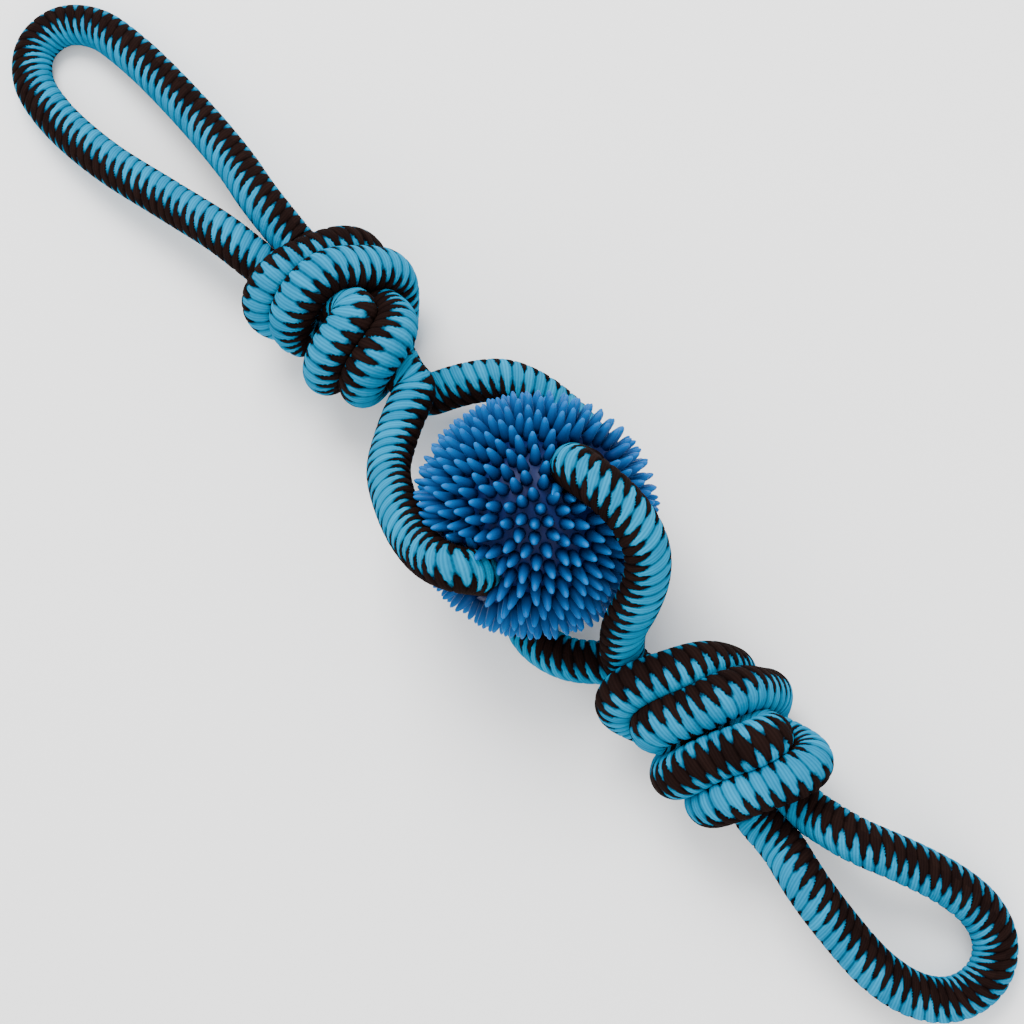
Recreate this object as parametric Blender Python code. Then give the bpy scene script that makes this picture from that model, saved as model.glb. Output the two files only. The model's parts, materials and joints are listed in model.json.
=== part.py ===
"""Rope tug toy: a spiky rubber ball on two rope strands, between two knots and two handle loops.

The toy lies flat. +X runs along it, +Z is up, and the origin is under the middle of its box.
The knots are doubled overhand knots. Their two ropes start as wraps laid round a straight core
and are settled by a small rope solver, so every turn lies against its neighbours.
"""
import math

import bmesh
import bpy
import numpy as np
from mathutils import Matrix, Vector

# Rope
ROPE_DIAMETER = 0.0146
ROPE_GAP = 0.0003
KNOT_TURN_GAP = 0.00045
FLAT_DEPTH_SHARE = 0.1

# Ball
BALL_CORE_RADIUS = 0.0335
BALL_WALL = 0.0045
BALL_LIFT = 0.0035
SPIKE_LENGTH = 0.0085
SPIKE_BASE_RADIUS = 0.0021
SPIKE_TIP_RADIUS = 0.0008
SPIKE_ROOM = 0.0004
SPIKE_COUNT = 380
SPIKE_SIDES = 3
PASSAGE_WALL = 0.0022
PASSAGE_X = 0.004
PASSAGE_CLEARANCE = 0.0005
PASSAGE_DEGREES = 8
PASSAGE_SHARES = (1.1, 0.55, 0.0, -0.55, -1.0)
PASSAGE_SIDES = 20
CUT_OVERRUN = 0.02

# The knots: the axis's place beside the ball, how far the rope runs from it, and the wraps' lean
LEFT_PIVOT_X = -0.0652
LEFT_PIVOT_Y = 0.0030
LEFT_KNOT_LENGTH = 0.0640
LEFT_BALL_SIDE_LENGTH = 0.0315
LEFT_KNOT_DEGREES = 42
LEFT_LEAN_DEGREES = -5
LEFT_OFFSET_RATIO = 0.27
LEFT_WRAP_RATIO = 2.0
LEFT_SETTLE_ROUNDS = 90
RIGHT_PIVOT_X = 0.0525
RIGHT_PIVOT_Y = -0.0140
RIGHT_KNOT_LENGTH = 0.0665
RIGHT_BALL_SIDE_LENGTH = 0.0315
RIGHT_KNOT_DEGREES = 10
RIGHT_LEAN_DEGREES = 18
RIGHT_OFFSET_RATIO = 0.45
RIGHT_WRAP_RATIO = 1.9
RIGHT_SETTLE_ROUNDS = 60
KNOT_PITCH_ALONG = 0.0145
KNOT_PITCH_ACROSS = 0.0130
KNOT_POINTS = 64

# The wraps that a knot starts from, in rope pitches
WRAP_RADIUS_RATIO = 1.6
WRAP_TURN_RATIO = 1.0
WRAP_DEGREES = 540
CORE_OFFSET_RATIO = 0.5
LEAD_RATIO = 1.3
STRAIGHT_RATIO = 0.35
HALF_SPACING_RATIO = 0.51
CORE_LINE_POINTS = 60
TURN_LINE_POINTS = 24
WRAP_LINE_POINTS = 200

# How a knot settles, in pitches and shares of a step
STRAIGHT_POINTS = 2
NEIGHBOUR_RATIO = 1.4
PAIR_RATIO = 1.5
PULL_RATIO = 0.02
SHORTEN_RATIO = 0.996
LENGTHEN_RATIO = 1.002
BENDING_RATIO = 0.12
CLOSING_RATIO = 0.2
PUSH_RATIO = 0.3
PAIR_ROUNDS = 8

# Routes of the strands from the ball's centre, drawn for a ball with this core radius
ROUTE_CORE_RADIUS = 0.0335
LOWER_STRAND_LEFT = [
    (-0.0610, -0.0055, -0.0105),
    (-0.0555, -0.0150, -0.0070),
    (-0.0478, -0.0240, -0.0010),
    (-0.0350, -0.0300, 0.0075),
    (-0.0210, -0.0335, 0.0165),
    (-0.0085, -0.0335, 0.0250),
    (0.0000, -0.0305, 0.0290),
]
LOWER_STRAND_RIGHT = [
    (0.0065, -0.0225, -0.0363),
    (0.0115, -0.0270, -0.0381),
    (0.0190, -0.0305, -0.0369),
    (0.0280, -0.0305, -0.0345),
    (0.0380, -0.0270, -0.0315),
    (0.0460, -0.0205, -0.0302),
]
UPPER_STRAND_LEFT = [
    (-0.0618, 0.0100, -0.0290),
    (-0.0558, 0.0185, -0.0270),
    (-0.0480, 0.0265, -0.0262),
    (-0.0370, 0.0310, -0.0275),
    (-0.0230, 0.0325, -0.0300),
    (-0.0100, 0.0315, -0.0332),
    (0.0000, 0.0290, -0.0303),
]
UPPER_STRAND_RIGHT = [
    (0.0075, 0.0198, 0.0360),
    (0.0135, 0.0206, 0.0385),
    (0.0215, 0.0214, 0.0383),
    (0.0310, 0.0208, 0.0350),
    (0.0405, 0.0170, 0.0285),
    (0.0455, 0.0105, 0.0205),
    (0.0478, 0.0020, 0.0115),
    (0.0483, -0.0060, 0.0015),
]

# Routes of the handle loops: along and across from the handle's axis, and up from the floor
LEFT_LOOP = [
    (-0.0165, 0.0095, 0.0245),
    (-0.0338, 0.0125, 0.0205),
    (-0.0684, 0.0155, 0.0150),
    (-0.1011, 0.0158, 0.0105),
    (-0.1208, 0.0130, 0.0070),
    (-0.1322, 0.0045, 0.0058),
    (-0.1337, -0.0080, 0.0058),
    (-0.1253, -0.0175, 0.0064),
    (-0.1080, -0.0215, 0.0090),
    (-0.0783, -0.0205, 0.0135),
    (-0.0427, -0.0140, 0.0190),
    (-0.0165, -0.0092, 0.0245),
]
RIGHT_LOOP = [
    (0.0140, 0.0108, 0.0270),
    (0.0314, 0.0175, 0.0220),
    (0.0478, 0.0225, 0.0160),
    (0.0604, 0.0232, 0.0110),
    (0.0703, 0.0190, 0.0070),
    (0.0757, 0.0105, 0.0058),
    (0.0757, 0.0015, 0.0058),
    (0.0719, -0.0060, 0.0068),
    (0.0632, -0.0120, 0.0100),
    (0.0496, -0.0148, 0.0150),
    (0.0304, -0.0135, 0.0215),
    (0.0140, -0.0108, 0.0270),
]
LOOP_POINTS = 30
STRAND_POINTS = 34
FINE_POINTS = 400
KNOT_BEVEL_STEPS = 1
FREE_BEVEL_STEPS = 3
ROUND_END_DEGREES = (30, 55, 75)

ROPE_RADIUS = ROPE_DIAMETER / 2
LEG_SPACING = ROPE_DIAMETER + ROPE_GAP
PIVOT_REACH = ROPE_RADIUS + ROPE_GAP
FLAT_DEPTH = FLAT_DEPTH_SHARE * ROPE_DIAMETER
BALL_CENTRE_HEIGHT = BALL_CORE_RADIUS + SPIKE_LENGTH + BALL_LIFT
PASSAGE_OFFSET = BALL_CORE_RADIUS - PASSAGE_WALL - ROPE_RADIUS - PASSAGE_CLEARANCE
ROUTE_SCALE = BALL_CORE_RADIUS / ROUTE_CORE_RADIUS


def turn_about_x(degrees):
    """The 3 by 3 matrix that turns a row vector about X."""
    angle = math.radians(degrees)
    c = math.cos(angle)
    s = math.sin(angle)
    return np.array([[1, 0, 0], [0, c, s], [0, -s, c]])


def spread_evenly(points, count):
    """The same line with count points at equal steps along it."""
    steps = np.linalg.norm(np.diff(points, axis=0), axis=1)
    along = np.concatenate([[0.0], np.cumsum(steps)])
    places = np.linspace(0.0, along[-1], count)
    return np.stack([np.interp(places, along, points[:, k]) for k in range(3)], axis=1)


def smooth_curve(points, count, fine=24):
    """A Catmull-Rom curve through the points, read at count even steps."""
    p = np.array(points, dtype=float)
    p = np.concatenate([[2 * p[0] - p[1]], p, [2 * p[-1] - p[-2]]])
    t = np.linspace(0.0, 1.0, fine, endpoint=False)[:, None]
    runs = []
    for a, b, c, d in zip(p[:-3], p[1:-2], p[2:-1], p[3:]):
        knots = [0.0]
        for u, v in ((a, b), (b, c), (c, d)):
            knots.append(knots[-1] + math.sqrt(float(np.linalg.norm(v - u))))
        k0, k1, k2, k3 = knots
        x = k1 + t * (k2 - k1)
        a1 = (k1 - x) / (k1 - k0) * a + (x - k0) / (k1 - k0) * b
        a2 = (k2 - x) / (k2 - k1) * b + (x - k1) / (k2 - k1) * c
        a3 = (k3 - x) / (k3 - k2) * c + (x - k2) / (k3 - k2) * d
        b1 = (k2 - x) / (k2 - k0) * a1 + (x - k0) / (k2 - k0) * a2
        b2 = (k3 - x) / (k3 - k1) * a2 + (x - k1) / (k3 - k1) * a3
        runs.append((k2 - x) / (k2 - k1) * b1 + (x - k1) / (k2 - k1) * b2)
    runs.append(p[-2][None])
    return spread_evenly(np.concatenate(runs), count)


def ease(low, high, t):
    """0 below low, 1 above high, and a smooth step between them."""
    f = np.clip((t - low) / (high - low), 0.0, 1.0)
    return f * f * (3 - 2 * f)


def wrapped_knot(lean, turn, wrap_pitch, offset):
    """The middle line and side direction of a doubled rope wrapped round its own core.

    The rope runs in along the core, turns out, wraps one and a half times back over the core,
    and turns in to run out along it. That is an overhand knot.
    """
    half = 0.5 * wrap_pitch * WRAP_DEGREES / 360
    places = []
    sides = []
    for x in np.linspace(-2 * half, half - WRAP_TURN_RATIO, CORE_LINE_POINTS):
        places.append((x, CORE_OFFSET_RATIO, 0.0))
        sides.append((0.0, 0.0, 1.0))
    for share in np.linspace(1 / TURN_LINE_POINTS, 1.0, TURN_LINE_POINTS):
        angle = 0.5 * math.pi * share
        out = CORE_OFFSET_RATIO + (WRAP_RADIUS_RATIO - CORE_OFFSET_RATIO) * float(ease(0.0, 1.0, share))
        along = half - WRAP_TURN_RATIO + WRAP_TURN_RATIO * math.sin(angle)
        places.append((along, out, WRAP_TURN_RATIO * (1 - math.cos(angle))))
        sides.append((-math.sin(angle), 0.0, math.cos(angle)))
    way_back = np.array([-1.0, -1.0, 1.0])
    far_places = (np.array(places) * way_back)[::-1]
    far_sides = (-np.array(sides) * way_back)[::-1]
    first = math.degrees(math.asin(WRAP_TURN_RATIO / WRAP_RADIUS_RATIO))
    for degrees in np.linspace(first, WRAP_DEGREES - first, WRAP_LINE_POINTS)[1:-1]:
        angle = math.radians(degrees)
        along = half * (1 - 2 * (degrees - first) / (WRAP_DEGREES - 2 * first))
        places.append((along, WRAP_RADIUS_RATIO * math.cos(angle), WRAP_RADIUS_RATIO * math.sin(angle)))
        sides.append((-1.0, 0.0, 0.0))
    line = np.concatenate([places, far_places])
    line[:, 0] += line[:, 1] * math.tan(math.radians(lean))
    line = line @ turn_about_x(turn) + np.array([0.0, offset, 0.0])
    return line, np.concatenate([sides, far_sides]) @ turn_about_x(turn)


def tie_knot(lean, turn, wrap_pitch, offset, back, front, end_sides, rounds):
    """Two ropes in a doubled overhand knot, settled between two end faces, in rope pitches.

    The end faces lie back and front from the middle, and end_sides are the directions in
    which the two ropes lie beside each other there.
    """
    line, side = wrapped_knot(lean, turn, wrap_pitch, offset)
    first = int(np.argmax(line[:, 0] > LEAD_RATIO - back))
    last = len(line) - int(np.argmax(line[::-1, 0] < front - LEAD_RATIO))
    faces = (np.array([-back, 0.0, 0.0]), np.array([front, 0.0, 0.0]))
    straight = np.array([STRAIGHT_RATIO, 0.0, 0.0])
    apart = []
    for end_side, place in zip(end_sides, (first, last - 1)):
        way = np.array(end_side, dtype=float)
        apart.append(HALF_SPACING_RATIO * (way if side[place].dot(way) > 0 else -way))
    ropes = []
    for sign in (1, -1):
        body = line[first:last] + sign * CORE_OFFSET_RATIO * side[first:last]
        start = faces[0] + sign * apart[0]
        end = faces[1] + sign * apart[1]
        whole = np.array([start, start + straight, *body, end - straight, end])
        ropes.append(spread_evenly(whole, KNOT_POINTS))
    return settle(np.array(ropes), rounds)


def settle(ropes, rounds):
    """Shorten two ropes between fixed ends, one pitch thick, and keep them side by side."""
    along = np.array([1.0, 0.0, 0.0])
    first = ropes[:, 0].copy()
    last = ropes[:, -1].copy()
    step = np.linalg.norm(np.diff(ropes, axis=1), axis=2).mean(axis=1)
    rope_count, point_count, _ = ropes.shape
    total = rope_count * point_count
    rope_of = np.arange(total) // point_count
    place_of = np.arange(total) % point_count
    one, two = np.triu_indices(total, 1)
    same_rope = rope_of[one] == rope_of[two]
    apart = np.abs(place_of[one] - place_of[two])
    for turn_number in range(rounds):
        if turn_number % PAIR_ROUNDS == 0:
            flat = ropes.reshape(-1, 3)
            neighbours = same_rope & (apart * step.mean() < NEIGHBOUR_RATIO)
            near = ((flat[one] - flat[two]) ** 2).sum(axis=1) < PAIR_RATIO ** 2
            pair_one = one[near & ~neighbours]
            pair_two = two[near & ~neighbours]
        for rope in range(rope_count):
            for held in range(STRAIGHT_POINTS):
                ropes[rope, held] = first[rope] + along * (held * step[rope])
                ropes[rope, -1 - held] = last[rope] - along * (held * step[rope])
        for _ in range(3):
            for start in (0, 1):
                back = ropes[:, start:point_count - 1:2]
                front = ropes[:, start + 1:point_count:2]
                back = back[:, :front.shape[1]]
                link = front - back
                size = np.sqrt((link ** 2).sum(axis=2, keepdims=True))
                shift = 0.5 * (size - step[:, None, None]) / size * link
                back += shift
                front -= shift
        ropes[:, 1:-1] += BENDING_RATIO * (0.5 * (ropes[:, :-2] + ropes[:, 2:]) - ropes[:, 1:-1])
        between = distances(ropes[0], ropes[1])
        nearest = between.argmin(axis=1)
        link = ropes[1][nearest] - ropes[0]
        size = between.min(axis=1)[:, None]
        closing = CLOSING_RATIO * np.clip(size - 1, 0, 1) / size * link
        ropes[0] += 0.5 * closing
        np.add.at(ropes[1], nearest, -0.5 * closing)
        for _ in range(3):
            flat = ropes.reshape(-1, 3)
            link = flat[pair_one] - flat[pair_two]
            size = np.sqrt((link ** 2).sum(axis=1))
            push = np.where(size < 1, PUSH_RATIO * (1 - size) / size, 0.0)[:, None] * link
            for axis in range(3):
                flat[:, axis] += np.bincount(pair_one, push[:, axis], total)
                flat[:, axis] -= np.bincount(pair_two, push[:, axis], total)
        length = np.sqrt((np.diff(ropes, axis=1) ** 2).sum(axis=2)).mean(axis=1)
        step = step * np.where(length / step - 1 < PULL_RATIO, SHORTEN_RATIO, LENGTHEN_RATIO)
    return ropes


def sized_knot(lean, turn, wrap_pitch, offset, back, front, end_sides, rounds):
    """A settled knot in metres, about its own middle, with its ends cut square at the end faces."""
    back_pitches = back / KNOT_PITCH_ALONG
    front_pitches = front / KNOT_PITCH_ALONG
    ropes = tie_knot(lean, turn, wrap_pitch, offset, back_pitches, front_pitches, end_sides, rounds)
    ropes = ropes * np.array([KNOT_PITCH_ALONG, KNOT_PITCH_ACROSS, KNOT_PITCH_ACROSS])
    ropes[:, 0, 0] = -back
    ropes[:, -1, 0] = front
    return np.array([spread_evenly(rope, KNOT_POINTS) for rope in ropes])


def distances(a, b):
    """Every point of a from every point of b."""
    return np.sqrt(((a[:, None] - b[None]) ** 2).sum(axis=2))


def turn_distances(fine, number):
    """How far each fine point of one of two ropes is from the other rope and from its own far turns."""
    rope = fine[number]
    own = distances(rope, rope)
    places = np.arange(len(rope)) * np.linalg.norm(rope[1] - rope[0])
    own[np.abs(places[:, None] - places[None]) < NEIGHBOUR_RATIO * KNOT_PITCH_ALONG] = np.inf
    return distances(rope, fine[1 - number]), own


def knot_radii(ropes):
    """Each rope's radius at each of its points: the full one, or half the room to the nearest turn.

    It also prints the least gap that is left between two turns.
    """
    split = 4
    fine = [spread_evenly(rope, split * (KNOT_POINTS - 1) + 1) for rope in ropes]
    radii = []
    for number in (0, 1):
        other, own = turn_distances(fine, number)
        room = np.minimum(other.min(axis=1), own.min(axis=1))
        radius = np.minimum((room - KNOT_TURN_GAP) / 2, ROPE_RADIUS)
        windows = [radius[max(split * (k - 1), 0):split * (k + 1) + 1] for k in range(KNOT_POINTS)]
        radii.append(np.array([window.min() for window in windows]))
    places = np.linspace(0.0, KNOT_POINTS - 1.0, len(fine[0]))
    thick = [np.interp(places, np.arange(KNOT_POINTS), radius) for radius in radii]
    gaps = []
    for number in (0, 1):
        other, own = turn_distances(fine, number)
        gaps.append((other - thick[number][:, None] - thick[1 - number][None]).min())
        gaps.append((own - thick[number][:, None] - thick[number][None]).min())
        print("  rope diameter in the knot, mm:", round(2000 * radii[number].min(), 2), "to",
              round(2000 * radii[number].max(), 2))
    print("  least gap between the knot's turns, mm:", round(1000 * min(gaps), 2))
    return radii


def from_ball(route):
    """A strand's route from the floor under the ball's centre, at the size that the ball asks."""
    return [np.array(point) * ROUTE_SCALE + [0, 0, BALL_CENTRE_HEIGHT] for point in route]


def handle_line(pivot, route):
    """A handle loop's middle line, from its leg at +Y round to its leg at -Y."""
    beside = np.array([0.0, LEG_SPACING / 2, 0.0])
    floor_under = np.array([pivot[0], pivot[1], 0.0])
    places = [floor_under + np.array(point) for point in route]
    return smooth_curve([pivot + beside, *places, pivot - beside], LOOP_POINTS)


def new_material(name, colour, roughness):
    """A plain material with the colour and roughness of the real surface."""
    material = bpy.data.materials.new(name)
    material.use_nodes = True
    shader = material.node_tree.nodes["Principled BSDF"]
    shader.inputs["Base Color"].default_value = (*colour, 1.0)
    shader.inputs["Roughness"].default_value = roughness
    shader.inputs["Metallic"].default_value = 0.0
    return material


def tube_object(name, points, radii, sides_step, collection):
    """A capped rope tube along the points, as a curve object."""
    curve = bpy.data.curves.new(name, "CURVE")
    curve.dimensions = "3D"
    curve.bevel_depth = ROPE_RADIUS
    curve.bevel_resolution = sides_step
    curve.use_fill_caps = True
    spline = curve.splines.new("POLY")
    spline.points.add(len(points) - 1)
    for point, place, radius in zip(spline.points, points, radii):
        point.co = (*place, 1.0)
        point.radius = radius / ROPE_RADIUS
    thing = bpy.data.objects.new(name, curve)
    collection.objects.link(thing)
    return thing


def as_mesh(thing):
    """The tube as a welded mesh object in the same place, under the same name."""
    bpy.context.view_layer.update()
    name = thing.name
    mesh = bpy.data.meshes.new_from_object(thing.evaluated_get(bpy.context.evaluated_depsgraph_get()))
    solid = bmesh.new()
    solid.from_mesh(mesh)
    bmesh.ops.remove_doubles(solid, verts=solid.verts, dist=ROPE_GAP / 10)
    bmesh.ops.recalc_face_normals(solid, faces=solid.faces)
    solid.to_mesh(mesh)
    solid.free()
    place = thing.matrix_world.copy()
    collection = thing.users_collection[0]
    bpy.data.objects.remove(thing)
    result = bpy.data.objects.new(name, mesh)
    result.matrix_world = place
    collection.objects.link(result)
    return result


def cut(thing, cutter):
    """Cut one solid out of another."""
    boolean = thing.modifiers.new("cut_" + cutter.name, "BOOLEAN")
    boolean.operation = "DIFFERENCE"
    boolean.object = cutter


def round_end(points, radii, at_start):
    """Close a tube with a half ball centred on its end point."""
    if at_start:
        points = points[::-1]
    outward = points[-1] - points[-2]
    outward = outward / np.linalg.norm(outward)
    more_points = []
    more_radii = []
    for degrees in ROUND_END_DEGREES:
        angle = math.radians(degrees)
        more_points.append(points[-1] + outward * ROPE_RADIUS * math.sin(angle))
        more_radii.append(ROPE_RADIUS * math.cos(angle))
    points = np.concatenate([points, more_points])
    if at_start:
        return points[::-1], more_radii[::-1] + radii
    return points, radii + more_radii


def free_rope(name, points, collection, pivot):
    """A free length of rope with a half ball at each end, with its origin at pivot."""
    radii = [ROPE_RADIUS] * len(points)
    points, radii = round_end(points, radii, True)
    points, radii = round_end(points, radii, False)
    return tube_object(name, points - np.array(pivot), radii, FREE_BEVEL_STEPS, collection)


def fibonacci_directions(count):
    """Directions spread evenly over a sphere."""
    golden = math.pi * (3 - math.sqrt(5))
    places = (np.arange(count) + 0.5) / count
    z = 1 - 2 * places
    ring = np.sqrt(1 - z * z)
    angle = golden * np.arange(count)
    return np.stack([ring * np.cos(angle), ring * np.sin(angle), z], axis=1)


def spike_is_free(direction, centre, rope_lines):
    """True where a spike along direction stays clear of every rope."""
    root = centre + direction * BALL_CORE_RADIUS
    for share in (0.0, 0.5, 1.0):
        place = root + direction * SPIKE_LENGTH * share
        thick = SPIKE_BASE_RADIUS + (SPIKE_TIP_RADIUS - SPIKE_BASE_RADIUS) * share
        room = ROPE_RADIUS + PASSAGE_CLEARANCE + SPIKE_ROOM + thick
        for line in rope_lines:
            if np.sqrt(((line - place) ** 2).sum(axis=1)).min() < room:
                return False
    return True


def ball_mesh(centre, rope_lines):
    """The ball's outer skin: a faceted core with a three-sided spike on most of its base triangles."""
    directions = fibonacci_directions(SPIKE_COUNT)
    solid = bmesh.new()
    owner = {}
    for number, direction in enumerate(directions):
        outward = Vector(direction)
        sideways = outward.orthogonal().normalized()
        other = outward.cross(sideways)
        for side in range(SPIKE_SIDES):
            angle = math.tau * side / SPIKE_SIDES
            corner = sideways * math.cos(angle) + other * math.sin(angle)
            place = outward * BALL_CORE_RADIUS + corner * SPIKE_BASE_RADIUS
            owner[solid.verts.new(place.normalized() * BALL_CORE_RADIUS)] = number
    bmesh.ops.convex_hull(solid, input=solid.verts)
    bases = []
    for face in solid.faces:
        owners = {owner[vert] for vert in face.verts}
        if len(owners) == 1:
            bases.append((face, directions[owners.pop()]))
    bases = [(face, way) for face, way in bases if spike_is_free(way, centre, rope_lines)]
    raised = bmesh.ops.extrude_discrete_faces(solid, faces=[face for face, _ in bases])["faces"]
    for face in raised:
        middle = face.calc_center_median()
        outward = middle.normalized()
        tip = outward * (BALL_CORE_RADIUS + SPIKE_LENGTH)
        for vert in face.verts:
            across = (vert.co - middle).normalized()
            vert.co = tip + across * SPIKE_TIP_RADIUS
    bmesh.ops.recalc_face_normals(solid, faces=solid.faces)
    bmesh.ops.triangulate(solid, faces=solid.faces)
    mesh = bpy.data.meshes.new("spiky_ball")
    solid.to_mesh(mesh)
    solid.free()
    print("spikes on the ball:", len(bases))
    return mesh


def cutter_object(name, mesh, collection, place, turn):
    """A cutter, hidden from the render."""
    thing = bpy.data.objects.new(name, mesh)
    thing.location = place
    thing.rotation_euler = (turn, 0, 0)
    thing.hide_render = True
    thing.display_type = "WIRE"
    collection.objects.link(thing)
    return thing


def cylinder_mesh(name, radius, length, sides):
    """A closed cylinder along Z, centred."""
    solid = bmesh.new()
    bmesh.ops.create_cone(
        solid, cap_ends=True, segments=sides, radius1=radius, radius2=radius, depth=length
    )
    mesh = bpy.data.meshes.new(name)
    solid.to_mesh(mesh)
    solid.free()
    return mesh


def sphere_mesh(name, radius):
    """A closed ball."""
    solid = bmesh.new()
    bmesh.ops.create_uvsphere(solid, u_segments=20, v_segments=10, radius=radius)
    mesh = bpy.data.meshes.new(name)
    solid.to_mesh(mesh)
    solid.free()
    return mesh


def box_mesh(name, size):
    """A closed box, centred."""
    solid = bmesh.new()
    bmesh.ops.create_cube(solid, size=1.0, matrix=Matrix.Diagonal((*size, 1.0)))
    mesh = bpy.data.meshes.new(name)
    solid.to_mesh(mesh)
    solid.free()
    return mesh


def new_collection(name):
    """A collection under the scene's own."""
    collection = bpy.data.collections.new(name)
    bpy.context.scene.collection.children.link(collection)
    return collection


def pivot_empty(name, place, collection, parent, parent_place):
    """An empty on a joint's axis."""
    empty = bpy.data.objects.new(name, None)
    empty.empty_display_size = ROPE_DIAMETER
    empty.parent = parent
    empty.location = Vector(place) - Vector(parent_place)
    collection.objects.link(empty)
    return empty


def put_on(thing, parent):
    """Parent an object that was modelled about its parent's own place."""
    thing.parent = parent
    thing.matrix_parent_inverse = Matrix.Identity(4)


for old in list(bpy.data.objects):
    bpy.data.objects.remove(old)

parts = new_collection("rope_tug_toy")
cutters = new_collection("cutters")
blue_rope = new_material("blue_and_black_rope", (0.02, 0.30, 0.50), 0.85)
blue_rubber = new_material("blue_rubber", (0.02, 0.12, 0.50), 0.45)

# Both knots, each with the radius of its two ropes at every point. On the ball's side one rope
# lies on the other, and on the handle's side they lie side by side.
beside_way = (0, 1, 0)
stacked_way = (0, 0, 1)
left_knot = sized_knot(
    LEFT_LEAN_DEGREES,
    LEFT_KNOT_DEGREES,
    LEFT_WRAP_RATIO,
    LEFT_OFFSET_RATIO,
    LEFT_KNOT_LENGTH - LEFT_BALL_SIDE_LENGTH,
    LEFT_BALL_SIDE_LENGTH,
    (beside_way, stacked_way),
    LEFT_SETTLE_ROUNDS,
)
right_knot = sized_knot(
    RIGHT_LEAN_DEGREES,
    RIGHT_KNOT_DEGREES,
    RIGHT_WRAP_RATIO,
    RIGHT_OFFSET_RATIO,
    RIGHT_BALL_SIDE_LENGTH,
    RIGHT_KNOT_LENGTH - RIGHT_BALL_SIDE_LENGTH,
    (stacked_way, beside_way),
    RIGHT_SETTLE_ROUNDS,
)
print("left knot")
left_radii = knot_radii(left_knot)
print("right knot")
right_radii = knot_radii(right_knot)

# Each knot's axis is as high as its lowest turn asks, with the flat worn into it
left_low = min((rope[:, 2] - radius).min() for rope, radius in zip(left_knot, left_radii))
right_low = min((rope[:, 2] - radius).min() for rope, radius in zip(right_knot, right_radii))
left_height = -left_low - FLAT_DEPTH
right_height = -right_low - FLAT_DEPTH
left_knot_pivot = np.array([LEFT_PIVOT_X * ROUTE_SCALE, LEFT_PIVOT_Y, left_height])
left_middle = left_knot_pivot - [PIVOT_REACH + LEFT_BALL_SIDE_LENGTH, 0, 0]
left_handle_pivot = left_knot_pivot - [2 * PIVOT_REACH + LEFT_KNOT_LENGTH, 0, 0]
right_knot_pivot = np.array([RIGHT_PIVOT_X * ROUTE_SCALE, RIGHT_PIVOT_Y, right_height])
right_middle = right_knot_pivot + [PIVOT_REACH + RIGHT_BALL_SIDE_LENGTH, 0, 0]
right_handle_pivot = right_knot_pivot + [2 * PIVOT_REACH + RIGHT_KNOT_LENGTH, 0, 0]

# The ball and the straight passages that the two strands take through it
ball_centre = np.array([0.0, 0.0, BALL_CENTRE_HEIGHT])
passage_roll = math.radians(PASSAGE_DEGREES)
passage_way = np.array([0.0, -math.sin(passage_roll), math.cos(passage_roll)])
passage_side = np.array([0.0, math.cos(passage_roll), math.sin(passage_roll)])
passage_middle = np.array([PASSAGE_X, 0.0, BALL_CENTRE_HEIGHT])
lower_middle = passage_middle - passage_side * PASSAGE_OFFSET
upper_middle = passage_middle + passage_side * PASSAGE_OFFSET
passage_half = math.sqrt(BALL_CORE_RADIUS ** 2 - PASSAGE_OFFSET ** 2)

# The two strands, each from its left knot through the ball to its right knot
stacked = np.array([0.0, 0.0, LEG_SPACING / 2])
lower_passage = [lower_middle + passage_way * passage_half * share for share in PASSAGE_SHARES]
upper_passage = [upper_middle - passage_way * passage_half * share for share in PASSAGE_SHARES]
lower_route = [left_knot_pivot + stacked, *from_ball(LOWER_STRAND_LEFT), *lower_passage]
lower_route += [*from_ball(LOWER_STRAND_RIGHT), right_knot_pivot - stacked]
upper_route = [left_knot_pivot - stacked, *from_ball(UPPER_STRAND_LEFT), *upper_passage]
upper_route += [*from_ball(UPPER_STRAND_RIGHT), right_knot_pivot + stacked]
lower_line = smooth_curve(lower_route, STRAND_POINTS)
upper_line = smooth_curve(upper_route, STRAND_POINTS)

# The two handle loops, from one leg's end to the other's
left_line = handle_line(left_handle_pivot, LEFT_LOOP)
right_line = handle_line(right_handle_pivot, RIGHT_LOOP)

# The origin goes under the middle of the toy's box
everything = [left_line, right_line, lower_line, upper_line]
everything += [left_middle + rope for rope in left_knot]
everything += [right_middle + rope for rope in right_knot]
radii_of = [np.full(len(line), ROPE_RADIUS) for line in everything[:4]] + left_radii + right_radii
ball_reach = BALL_CORE_RADIUS + SPIKE_LENGTH
low = np.min([(line - radius[:, None]).min(axis=0) for line, radius in zip(everything, radii_of)], axis=0)
high = np.max([(line + radius[:, None]).max(axis=0) for line, radius in zip(everything, radii_of)], axis=0)
low = np.minimum(low, -ball_reach)
high = np.maximum(high, ball_reach)
origin = np.array([(low[0] + high[0]) / 2, (low[1] + high[1]) / 2, 0.0])

root_place = (0.0, 0.0, 0.0)
floor_size = (high[0] - low[0] + CUT_OVERRUN, high[1] - low[1] + CUT_OVERRUN, CUT_OVERRUN)
floor_place = (0.0, 0.0, -CUT_OVERRUN / 2)
floor = cutter_object("floor_cutter", box_mesh("floor_cutter", floor_size), cutters, floor_place, 0.0)

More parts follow.
